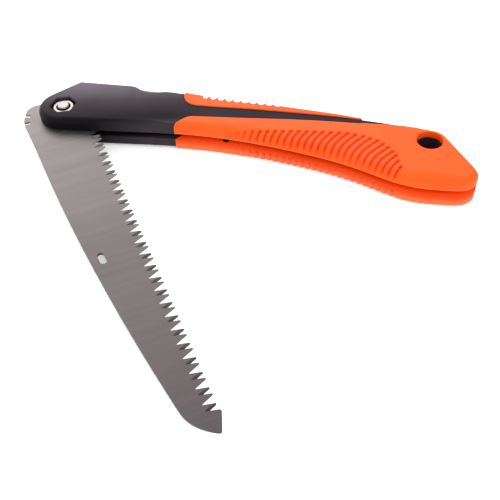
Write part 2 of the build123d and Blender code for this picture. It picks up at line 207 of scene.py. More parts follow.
# ---------------------------------------------------------------- materials
def blade_steel():
    """Steel brushed across the blade, with a painted reflection: paler towards the tang, darker towards the
    tip.
    """
    material, tree, shader = new_material("blade_steel")
    shader.inputs["Metallic"].default_value = 0.85
    shader.inputs["Specular IOR Level"].default_value = 0.4
    brushed = object_space(tree, BLADE_ANGLE, (1.0, 0.03, 1.0))
    space = object_space(tree, BLADE_ANGLE)
    lines = noise(tree, brushed, 2200.0, 4.0, 0.6)
    bands = noise(tree, brushed, 260.0, 3.0, 0.5)
    cloud = noise(tree, space, 22.0, 3.0)
    grit = noise(tree, space, 1800.0, 2.0)
    # Painted reflection: the colour is paler near the tang and darker towards the tip.
    from_tang = measured(tree, ALONG_BLADE, mm(-25.0), mm(200.0))
    tone = ramp(tree, from_tang, ((0.0, (0.235, 0.207, 0.210)), (0.12, (0.196, 0.170, 0.171)),
                                  (0.5, (0.123, 0.106, 0.107)), (1.0, (0.082, 0.069, 0.072))))
    tone = multiplied(tree, tone, ramp(tree, cloud, ((0.3, 0.90), (0.7, 1.0))))
    tone = multiplied(tree, tone, ramp(tree, lines, ((0.3, 0.74), (0.7, 1.0))))
    tone = multiplied(tree, tone, ramp(tree, bands, ((0.3, 0.88), (0.7, 1.0))))
    tree.links.new(tone, shader.inputs["Base Color"])
    tree.links.new(ramp(tree, lines, ((0.25, 0.42), (0.75, 0.58))), shader.inputs["Roughness"])
    scratches = bump(tree, shader, lines, 0.25, mm(0.05))
    bump(tree, shader, grit, 0.12, mm(0.03), scratches)
    return material


def plain_metal(name, colour, rough):
    """Turned or plated steel, clouded and finely grained, with painted shade in its corners."""
    material, tree, shader = new_material(name)
    shader.inputs["Metallic"].default_value = 1.0
    space = object_space(tree)
    cloud = noise(tree, space, 160.0, 4.0)
    grain = noise(tree, space, 900.0, 3.0)
    darker = tuple(c * 0.82 for c in colour)
    tone = ramp(tree, cloud, ((0.35, darker), (0.65, colour)))
    # Painted shade: ambient occlusion darkens the colour in corners.
    corner = ramp(tree, crevice(tree, mm(1.6)), ((0.35, 0.12), (0.85, 1.0)))
    tree.links.new(multiplied(tree, tone, corner), shader.inputs["Base Color"])
    roughness = ramp(tree, grain, ((0.3, rough * 0.75), (0.7, rough * 1.25)))
    tree.links.new(roughness, shader.inputs["Roughness"])
    bump(tree, shader, grain, 0.1, mm(0.03))
    return material


def painted_sheen_tone(tree):
    """Black of the handle halves with a painted sheen: greyer along the spine of the nose, blackest at the
    belly.
    """
    # Painted sheen: the colour is greyer towards the spine of the nose and darkest near the belly, with one
    # flat black behind the nose.
    climb = measured(tree, UP_THE_NOSE, mm(-18.5), mm(16.5))
    stops = ((0.0, 0.034), (0.05, 0.018), (0.11, 0.006), (0.18, 0.006), (0.36, 0.018), (0.55, 0.037),
             (0.76, 0.080), (0.95, 0.107))
    nose = ramp(tree, climb, [(place, (grey, 0.83 * grey, grey)) for place, grey in stops])
    behind_nose = measured(tree, ALONG_HANDLE, mm(56.0), mm(74.0))
    return mix(tree, "MIX", behind_nose, nose, (0.019, 0.0145, 0.020))


def black_polymer(name, colour, rough, sheen=0.17):
    """Satin moulding in one colour, or in the handle halves' black with its painted sheen when colour is
    None; painted shade darkens its crevices.
    """
    material, tree, shader = new_material(name)
    space = object_space(tree)
    texture = noise(tree, space, 2400.0, 2.0)
    cloud = noise(tree, space, 45.0, 4.0)
    if colour is None:
        tone = multiplied(tree, painted_sheen_tone(tree), ramp(tree, cloud, ((0.35, 0.9), (0.7, 1.08))))
    else:
        lighter = tuple(c * 1.35 for c in colour)
        tone = ramp(tree, cloud, ((0.35, colour), (0.7, lighter)))
    # Painted shade: ambient occlusion darkens the colour in crevices.
    painted_crevice_shade = ramp(tree, crevice(tree, mm(2.2)), ((0.35, 0.15), (0.9, 1.0)))
    tree.links.new(multiplied(tree, tone, painted_crevice_shade), shader.inputs["Base Color"])
    shader.inputs["Specular IOR Level"].default_value = sheen
    shader.inputs["Specular Tint"].default_value = (1.0, 0.86, 1.0, 1.0)
    roughness = ramp(tree, texture, ((0.3, rough - 0.05), (0.7, rough + 0.07)))
    tree.links.new(roughness, shader.inputs["Roughness"])
    bump(tree, shader, texture, 0.18, mm(0.04))
    return material


def orange_grip():
    """Soft orange moulding with painted shade in its grooves, hollows and slot, and painted highlights
    along its edges and lower belly.
    """
    material, tree, shader = new_material("orange_grip")
    space = object_space(tree)
    texture = noise(tree, space, 2000.0, 2.0)
    cloud = noise(tree, space, 38.0, 4.0)
    tone = ramp(tree, cloud, ((0.3, (0.83, 0.074, 0.0045)), (0.7, (0.87, 0.085, 0.006))))
    # Painted shade: darker where the grip mesh's stored shade value is high, in grooves and near the slot.
    painted_groove_shade = ramp(tree, attribute(tree, "painted_shade"), ((0.08, WHITE), (0.85, (0.58, 0.28, 0.1))))
    tone = multiplied(tree, tone, painted_groove_shade)
    # Painted shade: ambient occlusion darkens the colour in hollows.
    deep = ramp(tree, crevice(tree, mm(3.0)), ((0.1, (0.50, 0.16, 0.1)), (0.78, WHITE)))
    tone = multiplied(tree, tone, deep)
    # Painted highlight: paler orange where the grip mesh's stored highlight value is high, along edges and
    # the lower belly.
    tone = mix(tree, "MIX", attribute(tree, "painted_highlight"), tone, (1.0, 0.27, 0.10))
    tree.links.new(tone, shader.inputs["Base Color"])
    tree.links.new(ramp(tree, texture, ((0.3, 0.42), (0.7, 0.55))), shader.inputs["Roughness"])
    shader.inputs["Specular IOR Level"].default_value = 0.14
    bump(tree, shader, texture, 0.15, mm(0.04))
    return material


def paint(nodes, material):
    """Gives CAD nodes one material."""
    for name in nodes:
        mesh = frame["nodes"][name].data
        mesh.materials.clear()
        mesh.materials.append(material)


ORANGE = orange_grip()
paint(["blade"], blade_steel())
paint(["upper_shell", "lower_shell", "hang_hole_liner"],
      black_polymer("black_polymer", None, 0.40, 0.035))
paint(["upper_grip", "lower_grip", "upper_spine_grip", "lower_spine_grip"], ORANGE)
paint(["pivot_bolt", "pivot_nut"], plain_metal("zinc_hardware", (0.26, 0.240, 0.228), 0.30))
paint(["pivot_bush", "lock_bar", "lock_bar_pin", "handle_screws"],
      plain_metal("turned_steel", (0.20, 0.187, 0.18), 0.36))
paint(["lock_spring"], plain_metal("spring_steel", (0.38, 0.37, 0.36), 0.35))
paint(["upper_blade_washer", "lower_blade_washer"],
      black_polymer("washer_polymer", (0.03, 0.03, 0.03), 0.35))
paint(["thumb_pad"], black_polymer("pad_grey", (0.32, 0.32, 0.325), 0.45))
paint(["nose_bumper", "slot_pad"], black_polymer("black_rubber", (0.015, 0.015, 0.015), 0.7))


# ---------------------------------------------------------------- fine grip meshes
# Each grip is drawn again, finer than its solid: the outline is cut from the solid itself, and the
# top gets its rounded rims and grooves. Lengths here are millimetres, measured from the pivot, but
# the two gaps for welding and cutting are in the units of what they are used on.
GRIP_TOP = 8.2
WEB_TOP = 4.7
SLOT_HALF = 1.65
SECTION_HEIGHT = 4.75
SHELL_TOUCH = 0.06
CORNER_TURN = math.radians(35.0)
SHORTEST_EDGE = 0.02
PLAN_STEP = 0.4
GRID_STEP = 0.42
FINE_STEP = 0.26
FINE_X = (84.0, 182.0)
FINE_Y = (-23.0, 8.0)
TRIANGLE_HEIGHT = 0.866  # of an even triangle, for each unit of its side
GRID_ROOM = 0.15
ROW_ROOM = 0.93
WELD_GAP = 1e-6
CUT_GAP = 1e-7
TINY = 1e-12  # keeps a division from a zero length
CHUNK = 4000  # points that are measured at once


def plan_point(vector):
    """Plan position from the pivot axis."""
    return ((vector.x - PIVOT.x) * 1000.0, (vector.y - PIVOT.y) * 1000.0)


def section(node, height):
    """Closed plan loops where a CAD node is cut at a height above the blade's plane."""
    cut = bmesh.new()
    cut.from_mesh(frame["nodes"][node].data)
    cut.transform(frame["nodes"][node].matrix_world)
    bmesh.ops.remove_doubles(cut, verts=cut.verts, dist=WELD_GAP)
    level = Vector((0.0, 0.0, PIVOT.z + mm(height)))
    whole = cut.verts[:] + cut.edges[:] + cut.faces[:]
    found = bmesh.ops.bisect_plane(cut, geom=whole, dist=CUT_GAP, plane_co=level, plane_no=(0.0, 0.0, 1.0))
    edges = [piece for piece in found["geom_cut"] if isinstance(piece, bmesh.types.BMEdge)]
    partners = {}
    for edge in edges:
        first, second = edge.verts
        partners.setdefault(first, []).append(second)
        partners.setdefault(second, []).append(first)
    loops = []
    while partners:
        here = next(iter(partners))
        chain = [here]
        while True:
            onward = [v for v in partners.pop(here) if v in partners]
            if not onward:
                break
            here = onward[0]
            chain.append(here)
        loops.append(np.array([plan_point(v.co) for v in chain]))
    cut.free()
    return sorted(loops, key=len, reverse=True)


def after(loop):
    """The next point of a closed loop at each of its points."""
    return np.roll(loop, -1, axis=0)


def before(loop):
    """The previous point of a closed loop at each of its points."""
    return np.roll(loop, 1, axis=0)


def middles(loop):
    """Midpoints of a closed loop's edges."""
    return (loop + after(loop)) / 2


def segments(loops):
    """Starts and ends of all edges of some closed loops."""
    return np.vstack(loops), np.vstack([after(loop) for loop in loops])


def left_of(run):
    """Unit vectors to the left of some runs, which is into the grip along its edges."""
    return np.stack((-run[:, 1], run[:, 0]), axis=1) / np.linalg.norm(run, axis=1)[:, None]


def signed_area(loop):
    """Area inside a closed loop, positive when it runs counter-clockwise."""
    x, y = loop.T
    return 0.5 * np.sum(x * np.roll(y, -1) - np.roll(x, -1) * y)


def smooth_piece(points, step):
    """Evenly spaced points on a smooth curve through the given ones, without the last."""
    lengths = np.linalg.norm(np.diff(points, axis=0), axis=1)
    along = np.concatenate(([0.0], np.cumsum(lengths)))
    count = max(1, int(math.ceil(along[-1] / step)))
    wanted = np.linspace(0.0, along[-1], count + 1)[:-1]
    if len(points) == 2:
        return points[0] + (points[1] - points[0]) * (wanted / along[-1])[:, None]
    slopes = np.gradient(points, along, axis=0)
    slopes[0] = 2 * (points[1] - points[0]) / lengths[0] - slopes[1]
    slopes[-1] = 2 * (points[-1] - points[-2]) / lengths[-1] - slopes[-2]
    index = np.clip(np.searchsorted(along, wanted, side="right") - 1, 0, len(lengths) - 1)
    span = lengths[index][:, None]
    t = ((wanted - along[index]) / lengths[index])[:, None]
    start, end = points[index], points[index + 1]
    return (start * (1 + 2 * t) * (1 - t) ** 2 + slopes[index] * span * t * (1 - t) ** 2
            + end * t * t * (3 - 2 * t) + slopes[index + 1] * span * t * t * (t - 1))


def resampled(loop):
    """Closed counter-clockwise loop with its corners kept and its curves smoothed."""
    if signed_area(loop) < 0:
        loop = loop[::-1]
    loop = loop[np.linalg.norm(loop - before(loop), axis=1) > SHORTEST_EDGE]
    forward = after(loop) - loop
    back = loop - before(loop)
    cross = back[:, 0] * forward[:, 1] - back[:, 1] * forward[:, 0]
    turn = np.arctan2(cross, np.sum(back * forward, axis=1))
    corners = np.flatnonzero(np.abs(turn) > CORNER_TURN)
    if len(corners) == 0:
        corners = np.array([0])
    loop = np.roll(loop, -corners[0], axis=0)
    corners = list(corners - corners[0]) + [len(loop)]
    closed = np.vstack((loop, loop[:1]))
    pieces = [smooth_piece(closed[a:b + 1], PLAN_STEP) for a, b in zip(corners, corners[1:])]
    return np.vstack(pieces)


def nearest(points, starts, ends):
    """Distance to the nearest of some segments, which segment it is, and how far along it."""
    distance = np.empty(len(points))
    which = np.empty(len(points), int)
    part = np.empty(len(points))
    run = ends - starts
    square = np.maximum(np.sum(run * run, axis=1), TINY)
    for low in range(0, len(points), CHUNK):
        some = points[low:low + CHUNK]
        offset = some[:, None, :] - starts[None, :, :]
        t = np.clip(np.sum(offset * run, axis=2) / square, 0.0, 1.0)
        gap = np.sum((offset - t[:, :, None] * run) ** 2, axis=2)
        best = np.argmin(gap, axis=1)
        rows = np.arange(len(some))
        which[low:low + CHUNK] = best
        part[low:low + CHUNK] = t[rows, best]
        distance[low:low + CHUNK] = np.sqrt(gap[rows, best])
    return distance, which, part


def distance_to(points, edges):
    """Distance from points to the nearest of some edges."""
    return nearest(points, *edges)[0]


def inside(points, loop):
    """Which points lie inside a closed loop."""
    x1, y1 = loop.T
    x2, y2 = after(loop).T
    result = np.empty(len(points), bool)
    for low in range(0, len(points), CHUNK):
        px, py = points[low:low + CHUNK].T[:, :, None]
        crossing = (y1 > py) != (y2 > py)
        rise = np.where(y2 == y1, TINY, y2 - y1)
        left = px < x1 + (py - y1) * (x2 - x1) / rise
        result[low:low + CHUNK] = np.sum(crossing & left, axis=1) % 2 == 1
    return result


def ease(value, low, high):
    """0 below low, 1 above high, and a smooth step between."""
    t = np.clip((value - low) / (high - low), 0.0, 1.0)
    return t * t * (3 - 2 * t)


CROWN_POWER = 2.3


def crown(distance, reach, drop):
    """How far a rounded rim lies below the flat top."""
    t = np.clip(distance / reach, 0.0, 1.0)
    return drop * (1 - (1 - (1 - t) ** CROWN_POWER) ** (1 / CROWN_POWER))


def edge_round(distance, radius):
    """The same for a small quarter-round edge."""
    inward = np.clip(radius - distance, 0.0, radius)
    return radius - np.sqrt(radius ** 2 - inward ** 2)


# Where the grips lie on the shells' web, and where the blade's slot runs under them.
WEB_PLAN = ((56, 16.2), (98, 13.4), (130, 11.2), (172, 8.8), (182, 7.2), (187.2, 5.0), (199.1, -9.6),
            (199.6, -13.6), (196.9, -15.5), (191, -16.8), (182, -17.2), (172, -15.8), (150, -9.1),
            (127.5, -4.4), (105.5, -1.5), (82, 0), (56, -0.9))
SLOT_EDGE = ((50.0, 7.652), (191.0, -9.66), (206.5, -14.5), (240.0, -14.5), (240.0, -60.0),
             (50.0, -60.0))
RIM_RINGS = (0.03, 0.12, 0.28, 0.5, 0.8)
SEAM_RINGS = (0.04, 0.16, 0.4)
SEAM_RADIUS = 0.5
HOLE_RADIUS = 0.4
SLOT_EDGE_RADIUS = 0.35
SLOT_EDGE_RUNOUT = 1.2
SLOT_EDGE_MID = 0.29
WALL_START = SLOT_HALF + SLOT_EDGE_RADIUS
WALL_ROWS = 5
TRIM_BLEND = 1.0


def underside(points):
    """Height of a grip's underside: against its mate, in the blade's slot, or against the web."""
    height = np.zeros(len(points))
    height[inside(points, np.array(SLOT_EDGE))] = SLOT_HALF
    height[inside(points, np.array(WEB_PLAN))] = WEB_TOP
    return height


def triangulated(loops, more_points, polygons):
    """Constrained triangles inside the first loop and outside the others."""
    points = []
    constraints = []
    for polygon in list(loops) + list(polygons):
        base = len(points)
        count = len(polygon)
        constraints += [(base + i, base + (i + 1) % count) for i in range(count)]
        points += [Vector(p) for p in polygon]
    points += [Vector(p) for p in more_points]
    found = delaunay_2d_cdt(points, constraints, [], 0, WELD_GAP)
    plan = np.array([tuple(v) for v in found[0]])
    triangles = np.array(found[2])
    centres = plan[triangles].mean(axis=1)
    keep = inside(centres, loops[0])
    for hole in loops[1:]:
        keep &= ~inside(centres, hole)
    return plan, triangles[keep]


def border_loops(triangles):
    """Loops of plan indices round a set of counter-clockwise triangles, longest first."""
    directed = {}
    for a, b, c in triangles.tolist():
        directed[(a, b)] = directed[(b, c)] = directed[(c, a)] = True
    following = {a: b for a, b in directed if (b, a) not in directed}
    loops = []
    while following:
        start = next(iter(following))
        chain = [start]
        here = following.pop(start)
        while here != start:
            chain.append(here)
            here = following.pop(here)
        loops.append(np.array(chain))
    return sorted(loops, key=len, reverse=True)


def trimmed(loop, shell_loops, trim):
    """The loop with its free edge drawn in along Y by trim(x)."""
    free = distance_to(loop, segments(shell_loops))
    moved = loop.copy()
    moved[:, 1] -= trim(loop[:, 0]) * ease(free, SHELL_TOUCH, TRIM_BLEND)
    return moved


class Grip:
    """Plan, edges and underside of one grip, taken from its solid.

    Its rim is the free edge, and its seam is the edge that lies against the shell.
    """

    def __init__(self, node, shell, side, rim_shape, trim):
        shell_loops = section(shell, side * SECTION_HEIGHT)
        loops = [resampled(loop) for loop in section(node, side * SECTION_HEIGHT)]
        outline = shell_loops[0]
        away = distance_to(middles(outline), segments(loops[:1])) > 3 * SHELL_TOUCH
        self.shell_edge = (outline[away], after(outline)[away])
        if trim:
            loops[0] = trimmed(loops[0], shell_loops, trim)
        self.under_plan, self.under = triangulated(loops, [], (WEB_PLAN, SLOT_EDGE))
        self.chains = border_loops(self.under)
        outer = self.under_plan[self.chains[0]]
        touch = distance_to(middles(outer), segments(shell_loops)) < SHELL_TOUCH
        first = int(np.flatnonzero(touch & ~after(touch))[0]) + 1
        self.chains[0] = np.roll(self.chains[0], -first)
        self.rim_count = int(np.flatnonzero(np.roll(touch, -first))[0])
        self.loops = [self.under_plan[chain] for chain in self.chains]
        outer = self.loops[0]
        self.rim = (outer[:self.rim_count], after(outer)[:self.rim_count])
        self.seam = (outer[self.rim_count:], after(outer)[self.rim_count:])
        self.holes = segments(self.loops[1:]) if len(self.loops) > 1 else None
        run = self.rim[1] - self.rim[0]
        self.rim_inward = left_of(run)
        self.rim_lengths = np.linalg.norm(run, axis=1)
        self.rim_along = np.concatenate(([0.0], np.cumsum(self.rim_lengths)))
        self.reach, self.drop = rim_shape(np.vstack((self.rim[0], self.rim[1][-1:])))

    def edge_rows(self):
        """Points in rows just inside the outer edge and round the holes."""
        edges = segments(self.loops)
        rows = []
        for loop, offsets in zip(self.loops, (RIM_RINGS,) + (SEAM_RINGS,) * len(self.loops)):
            inward = left_of(after(loop) - before(loop))
            for offset in offsets:
                row = loop + inward * offset
                clear = distance_to(row, edges) > ROW_ROOM * offset
                rows.append(row[clear & inside(row, self.loops[0])])
        return rows

    def grid(self, step, fine):
        """Staggered grid inside the rows, in the finely meshed area or outside it."""
        low, high = self.loops[0].min(axis=0), self.loops[0].max(axis=0)
        xs = np.arange(low[0], high[0], step)
        ys = np.arange(low[1], high[1], step * TRIANGLE_HEIGHT)
        x, y = np.meshgrid(xs, ys)
        x = (x + (np.arange(len(ys)) % 2 * step / 2)[:, None]).ravel()
        y = y.ravel()
        in_fine_area = (x > FINE_X[0]) & (x < FINE_X[1]) & (y > FINE_Y[0]) & (y < FINE_Y[1])
        points = np.stack((x, y), axis=1)[in_fine_area == fine]
        points = points[inside(points, self.loops[0])]
        return points[distance_to(points, segments(self.loops)) > RIM_RINGS[-1] + GRID_ROOM]

    def top_plan(self):
        """Points and triangles of the top: edges, rows just inside them, and a fine grid."""
        more = self.edge_rows() + [self.grid(GRID_STEP, False), self.grid(FINE_STEP, True)]
        return triangulated(self.loops, np.vstack(more), ())


AT_EDGE = 0.02
EDGE_SLOPE = 30.0
SLOPE_PROBE = 0.05
ARC_STEPS = 24


def rim_arc(gap, reach, drop):
    """Length of the rounded rim's profile from its foot to a distance from the edge."""
    total = np.zeros(len(gap))
    previous_x = np.zeros(len(gap))
    previous_z = crown(previous_x, reach, drop)
    for step in range(1, ARC_STEPS + 1):
        x = gap * (step / ARC_STEPS) ** 2
        z = crown(x, reach, drop)
        total += np.hypot(x - previous_x, z - previous_z)
        previous_x, previous_z = x, z
    return total


class Top:
    """Upper surface of one grip, with the depth of its grooves."""

    def __init__(self, grip, groove, sink):
        self.plan, self.triangles = grip.top_plan()
        self.rim_gap, self.which, self.part = nearest(self.plan, *grip.rim)
        along = grip.rim_along[self.which] + self.part * grip.rim_lengths[self.which]
        self.reach = np.interp(along, grip.rim_along, grip.reach)
        self.drop = np.interp(along, grip.rim_along, grip.drop)
        self.seam_gap = distance_to(self.plan, grip.seam)
        height = GRIP_TOP - self.fall(grip)
        if sink:
            height -= sink(self.plan[:, 0])
        self.points = np.column_stack((self.plan, height))
        self.groove_depth = np.zeros(len(self.plan))
        if groove:
            climb = GRIP_TOP - self.drop - WALL_START + rim_arc(self.rim_gap, self.reach, self.drop)
            self.groove_depth = groove(along, climb)
            self.points += self.groove_depth[:, None] * self.inward_normals(grip)

    def fall(self, grip):
        """How far each point lies below the flat top, towards whichever edge is the lowest there."""
        shell_gap = np.maximum(distance_to(self.plan, grip.shell_edge), SEAM_RADIUS / 2)
        falls = [crown(self.rim_gap, self.reach, self.drop), crown(shell_gap, self.reach, self.drop),
                 edge_round(self.seam_gap, SEAM_RADIUS)]
        if grip.holes:
            falls.append(edge_round(distance_to(self.plan, grip.holes), HOLE_RADIUS))
        return np.max(falls, axis=0)

    def inward_normals(self, grip):
        """Unit directions into the grip, square to its top: level near the rim, down on the flat."""
        starts, ends = grip.rim
        away = self.plan - starts[self.which] - self.part[:, None] * (ends - starts)[self.which]
        size = np.linalg.norm(away, axis=1)[:, None]
        level = np.where(size > AT_EDGE, away / np.maximum(size, TINY), grip.rim_inward[self.which])
        outer = crown(np.maximum(self.rim_gap - SLOPE_PROBE, 0.0), self.reach, self.drop)
        inner = crown(self.rim_gap + SLOPE_PROBE, self.reach, self.drop)
        slope = np.maximum((outer - inner) / (2 * SLOPE_PROBE), 0.0)
        slope = np.where(self.rim_gap < AT_EDGE, EDGE_SLOPE, slope)[:, None]
        return np.hstack((level * slope, -np.ones(slope.shape))) / np.sqrt(1.0 + slope ** 2)


class Skin:
    """Closed mesh of one grip, drawn above the blade's plane, from its top down to its underside.

    Each vertex below the top is known by a key: its plan index and its height, row or edge.
    """

    def __init__(self, grip, top, groove):
        self.grip = grip
        self.top_count = len(top.points)
        self.vertices = [tuple(p) for p in top.points]
        self.faces = [tuple(t) for t in top.triangles.tolist()]
        self.known = {}
        self.level_beside = {}
        levels = underside(grip.under_plan[grip.under].mean(axis=1))
        self.under_faces = list(zip(grip.under.tolist(), levels))
        for (a, b, c), low in self.under_faces:
            for edge in ((a, b), (b, c), (c, a)):
                self.level_beside[edge] = low
        self.pulled = self.slot_edge_pull()
        rows = np.arange(WALL_ROWS) / WALL_ROWS
        self.row_heights = WALL_START + (GRIP_TOP - grip.drop[:, None] - WALL_START) * rows
        self.row_depths = np.zeros(self.row_heights.shape)
        if groove:
            places = np.repeat(grip.rim_along, WALL_ROWS)
            depths = groove(places, self.row_heights.ravel() - WALL_START)
            self.row_depths = depths.reshape(self.row_heights.shape)
        self.add_underside()
        self.add_sides()

    def slot_edge_pull(self):
        """Plan places of the slot's rounded edge, drawn in from the rim except at its ends."""
        grip = self.grip
        chain = grip.chains[0]
        count = grip.rim_count
        open_slot = np.array([self.level_beside[(chain[i], chain[i + 1])] == SLOT_HALF
                              for i in range(count)])
        ends = np.flatnonzero(open_slot[:-1] != open_slot[1:]) + 1
        marks = grip.rim_along[np.concatenate(([0, count], ends))]
        inward = left_of(after(grip.loops[0]) - before(grip.loops[0]))
        result = {}
        for i in range(count + 1):
            if open_slot[min(i, count - 1)] or open_slot[max(i - 1, 0)]:
                to_end = np.min(np.abs(marks - grip.rim_along[i]))
                pull = SLOT_EDGE_RADIUS * ease(to_end, 0.0, SLOT_EDGE_RUNOUT)
                result[int(chain[i])] = grip.loops[0][i] + inward[i] * pull
        return result

    def vertex(self, key, place):
        """Number of the vertex with this key, added at its place if it is new."""
        if key not in self.known:
            self.known[key] = len(self.vertices)
            self.vertices.append(tuple(place))
        return self.known[key]

    def below(self, index, low):
        """Vertex on the underside."""
        x, y = self.grip.under_plan[index]
        if low == SLOT_HALF and index in self.pulled:
            x, y = self.pulled[index]
        return self.vertex((index, round(float(low), 3)), (x, y, low))

    def add_underside(self):
        """Underside, with a step wherever its height changes."""
        for (a, b, c), low in self.under_faces:
            self.faces.append((self.below(c, low), self.below(b, low), self.below(a, low)))
        for (a, b), low in self.level_beside.items():
            other = self.level_beside.get((b, a))
            if other is not None and other > low:
                self.faces.append((self.below(a, low), self.below(b, low),
                                   self.below(b, other), self.below(a, other)))

    def seam_column(self, index, low):
        """Vertices up the seam's side at one edge point, short of the top."""
        x, y = self.grip.under_plan[index]
        steps = [height for height in (SLOT_HALF, WEB_TOP) if height > low]
        walls = [self.vertex((index, height), (x, y, height)) for height in steps]
        return [self.below(index, low)] + walls

    def rim_column(self, index, place, low):
        """Vertices up the rim's wall at one edge point, short of the top."""
        x, y = self.grip.under_plan[index]
        column = [self.below(index, low)]
        if low == SLOT_HALF:
            px, py = self.pulled[index]
            rounded = (x + SLOT_EDGE_MID * (px - x), y + SLOT_EDGE_MID * (py - y),
                       SLOT_HALF + SLOT_EDGE_MID * SLOT_EDGE_RADIUS)
            column.append(self.vertex((index, "edge"), rounded))
        inward = self.grip.rim_inward[min(place, self.grip.rim_count - 1)]
        for row in range(WALL_ROWS):
            deep = self.row_depths[place, row]
            wall = (x + inward[0] * deep, y + inward[1] * deep, self.row_heights[place, row])
            column.append(self.vertex((index, "row", row), wall))
        return column

    def add_sides(self):
        """Walls from the underside up to the top, round every edge."""
        base = 0
        for chain in self.grip.chains:
            count = len(chain)
            for i in range(count):
                j = (i + 1) % count
                low = self.level_beside[(chain[i], chain[j])]
                if base == 0 and i < self.grip.rim_count:
                    first = self.rim_column(chain[i], i, low)
                    second = self.rim_column(chain[j], j, low)
                else:
                    first = self.seam_column(chain[i], low)
                    second = self.seam_column(chain[j], low)
                first.append(base + i)
                second.append(base + j)
                for k in range(len(first) - 1):
                    self.faces.append((first[k], second[k], second[k + 1], first[k + 1]))
            base += count


# Painted highlight runs from 0 to 1, and painted shade is counted like the depth of a groove that looks as
# dark.
# Their reaches are distances from the edge or heights up the wall.
SEAM_HIGHLIGHT = 0.25
SEAM_HIGHLIGHT_REACH = 0.3
UPPER_SLOT_HIGHLIGHT = 0.4
LOWER_SLOT_SHADE = 0.6
SLOT_SHADE_REACH = 3.2
LOWER_BELLY_REFLECTION = 0.3
BELLY_REFLECTION_FADE = (1.0, 6.0)
BELLY_REFLECTION_START = (1.5, 4.0)


def painted_shade_and_highlight(skin, top, side):
    """How much painted shade and painted highlight each vertex of a skin gets; a groove gets as much
    painted shade as it is deep.
    """
    upper = side > 0
    painted_shade = np.zeros(len(skin.vertices))
    painted_highlight = np.zeros(len(skin.vertices))
    painted_shade[:skin.top_count] = top.groove_depth
    # Painted highlight along the seam's rounded edge.
    painted_highlight[:skin.top_count] = SEAM_HIGHLIGHT * np.exp(-(top.seam_gap / SEAM_HIGHLIGHT_REACH) ** 2)
    # Painted reflection of the floor near the lower grip's belly rim.
    if not upper:
        painted_highlight[:skin.top_count] += LOWER_BELLY_REFLECTION * (1.0 - ease(top.rim_gap, *BELLY_REFLECTION_FADE))
    # Painted shade in the slot on the lower grip, under the upper grip; painted highlight on the upper
    # grip's slot edge.
    slot_shade = 0.0 if upper else LOWER_SLOT_SHADE
    slot_highlight = UPPER_SLOT_HIGHLIGHT if upper else 0.0
    rim_chain = skin.grip.chains[0][:skin.grip.rim_count + 1]
    places = {int(index): place for place, index in enumerate(rim_chain)}
    for key, number in skin.known.items():
        if key[1] == "row":
            climb = skin.vertices[number][2] - WALL_START
            painted_shade[number] = skin.row_depths[places[int(key[0])], key[2]]
            # Painted shade low on the lower grip's wall, fading upwards from the slot.
            painted_shade[number] += slot_shade * (1.0 - ease(climb, 0.0, SLOT_SHADE_REACH))
            if not upper:
                painted_highlight[number] = LOWER_BELLY_REFLECTION * ease(climb, *BELLY_REFLECTION_START)
            elif key[2] == 0:
                painted_highlight[number] = slot_highlight / 2
        # Painted shade and painted highlight on the slot's rounded edge.
        elif key[1] == "edge":
            painted_shade[number] = slot_shade
            painted_highlight[number] = slot_highlight
    return painted_shade, painted_highlight


SHARP_ANGLE = math.radians(40.0)


def build_grip(name, node, shell, side, rim_shape, groove=None, trim=None, sink=None):
    """One grip as a fine mesh in place of its solid; side is 1 above the blade and -1 below it."""
    grip = Grip(node, shell, side, rim_shape, trim)
    top = Top(grip, groove, sink)
    skin = Skin(grip, top, groove)
    painted_shade, painted_highlight = painted_shade_and_highlight(skin, top, side)
    place = np.array(skin.vertices) * (1, 1, side)
    faces = skin.faces if side > 0 else [face[::-1] for face in skin.faces]
    packed = np.clip(np.array(PIVOT) + mm(place), *np.array(cad_bounds))
    mesh = bpy.data.meshes.new(name)
    mesh.from_pydata([tuple(p) for p in packed.tolist()], [], faces)
    # Painted shade and painted highlight, stored per vertex for the orange material.
    for word, values in (("painted_shade", painted_shade), ("painted_highlight", painted_highlight)):
        layer = mesh.attributes.new(word, "FLOAT", "POINT")
        layer.data.foreach_set("value", values)
    mesh.shade_smooth()
    mesh.set_sharp_from_angle(angle=SHARP_ANGLE)
    mesh.materials.append(ORANGE)
    piece = bpy.data.objects.new(name, mesh)
    bpy.context.scene.collection.objects.link(piece)
    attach(piece, "handle")
    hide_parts(node)


# Rims: reach is how far the rounding runs in from the edge, and drop how far it falls there.
UPPER_RIM = 3.4
BELLY_MORE_REACH = 4.6
BELLY_MORE_DROP = 2.0
BELLY_START = (62.0, 92.0)
BELLY_END = (186.0, 203.0)
BUTT_X = 150.0
BUTT_Y = (-12.0, -2.0)
LOWER_RIM_REACH = 2.4
LOWER_RIM_DROP = 1.9


def upper_panel_rim(points):
    """Reach and drop of the rim: broad along the belly, tighter at the front and round the butt."""
    x, y = points.T
    belly = ease(x, *BELLY_START) * (1.0 - ease(x, *BELLY_END))
    on_butt = (x > BUTT_X) & (y > BUTT_Y[0])
    belly = np.where(on_butt, belly * (1.0 - ease(y, *BUTT_Y)), belly)
    return UPPER_RIM + BELLY_MORE_REACH * belly, UPPER_RIM + BELLY_MORE_DROP * belly


def lower_panel_rim(points):
    """Reach and drop of the lower panel's rim, the same all round."""
    return np.full(len(points), LOWER_RIM_REACH), np.full(len(points), LOWER_RIM_DROP)


STRIP_FRONT_RIM = 3.3
STRIP_REAR_RIM = 2.2
STRIP_RIM_CHANGE = (60.0, 80.0)
STRIP_FRONT_TRIM = 0.9
STRIP_TRIM_FADE = (78.0, 108.0)
STRIP_END_SINK = 0.5
STRIP_SINK_CHANGE = (132.0, 152.0)


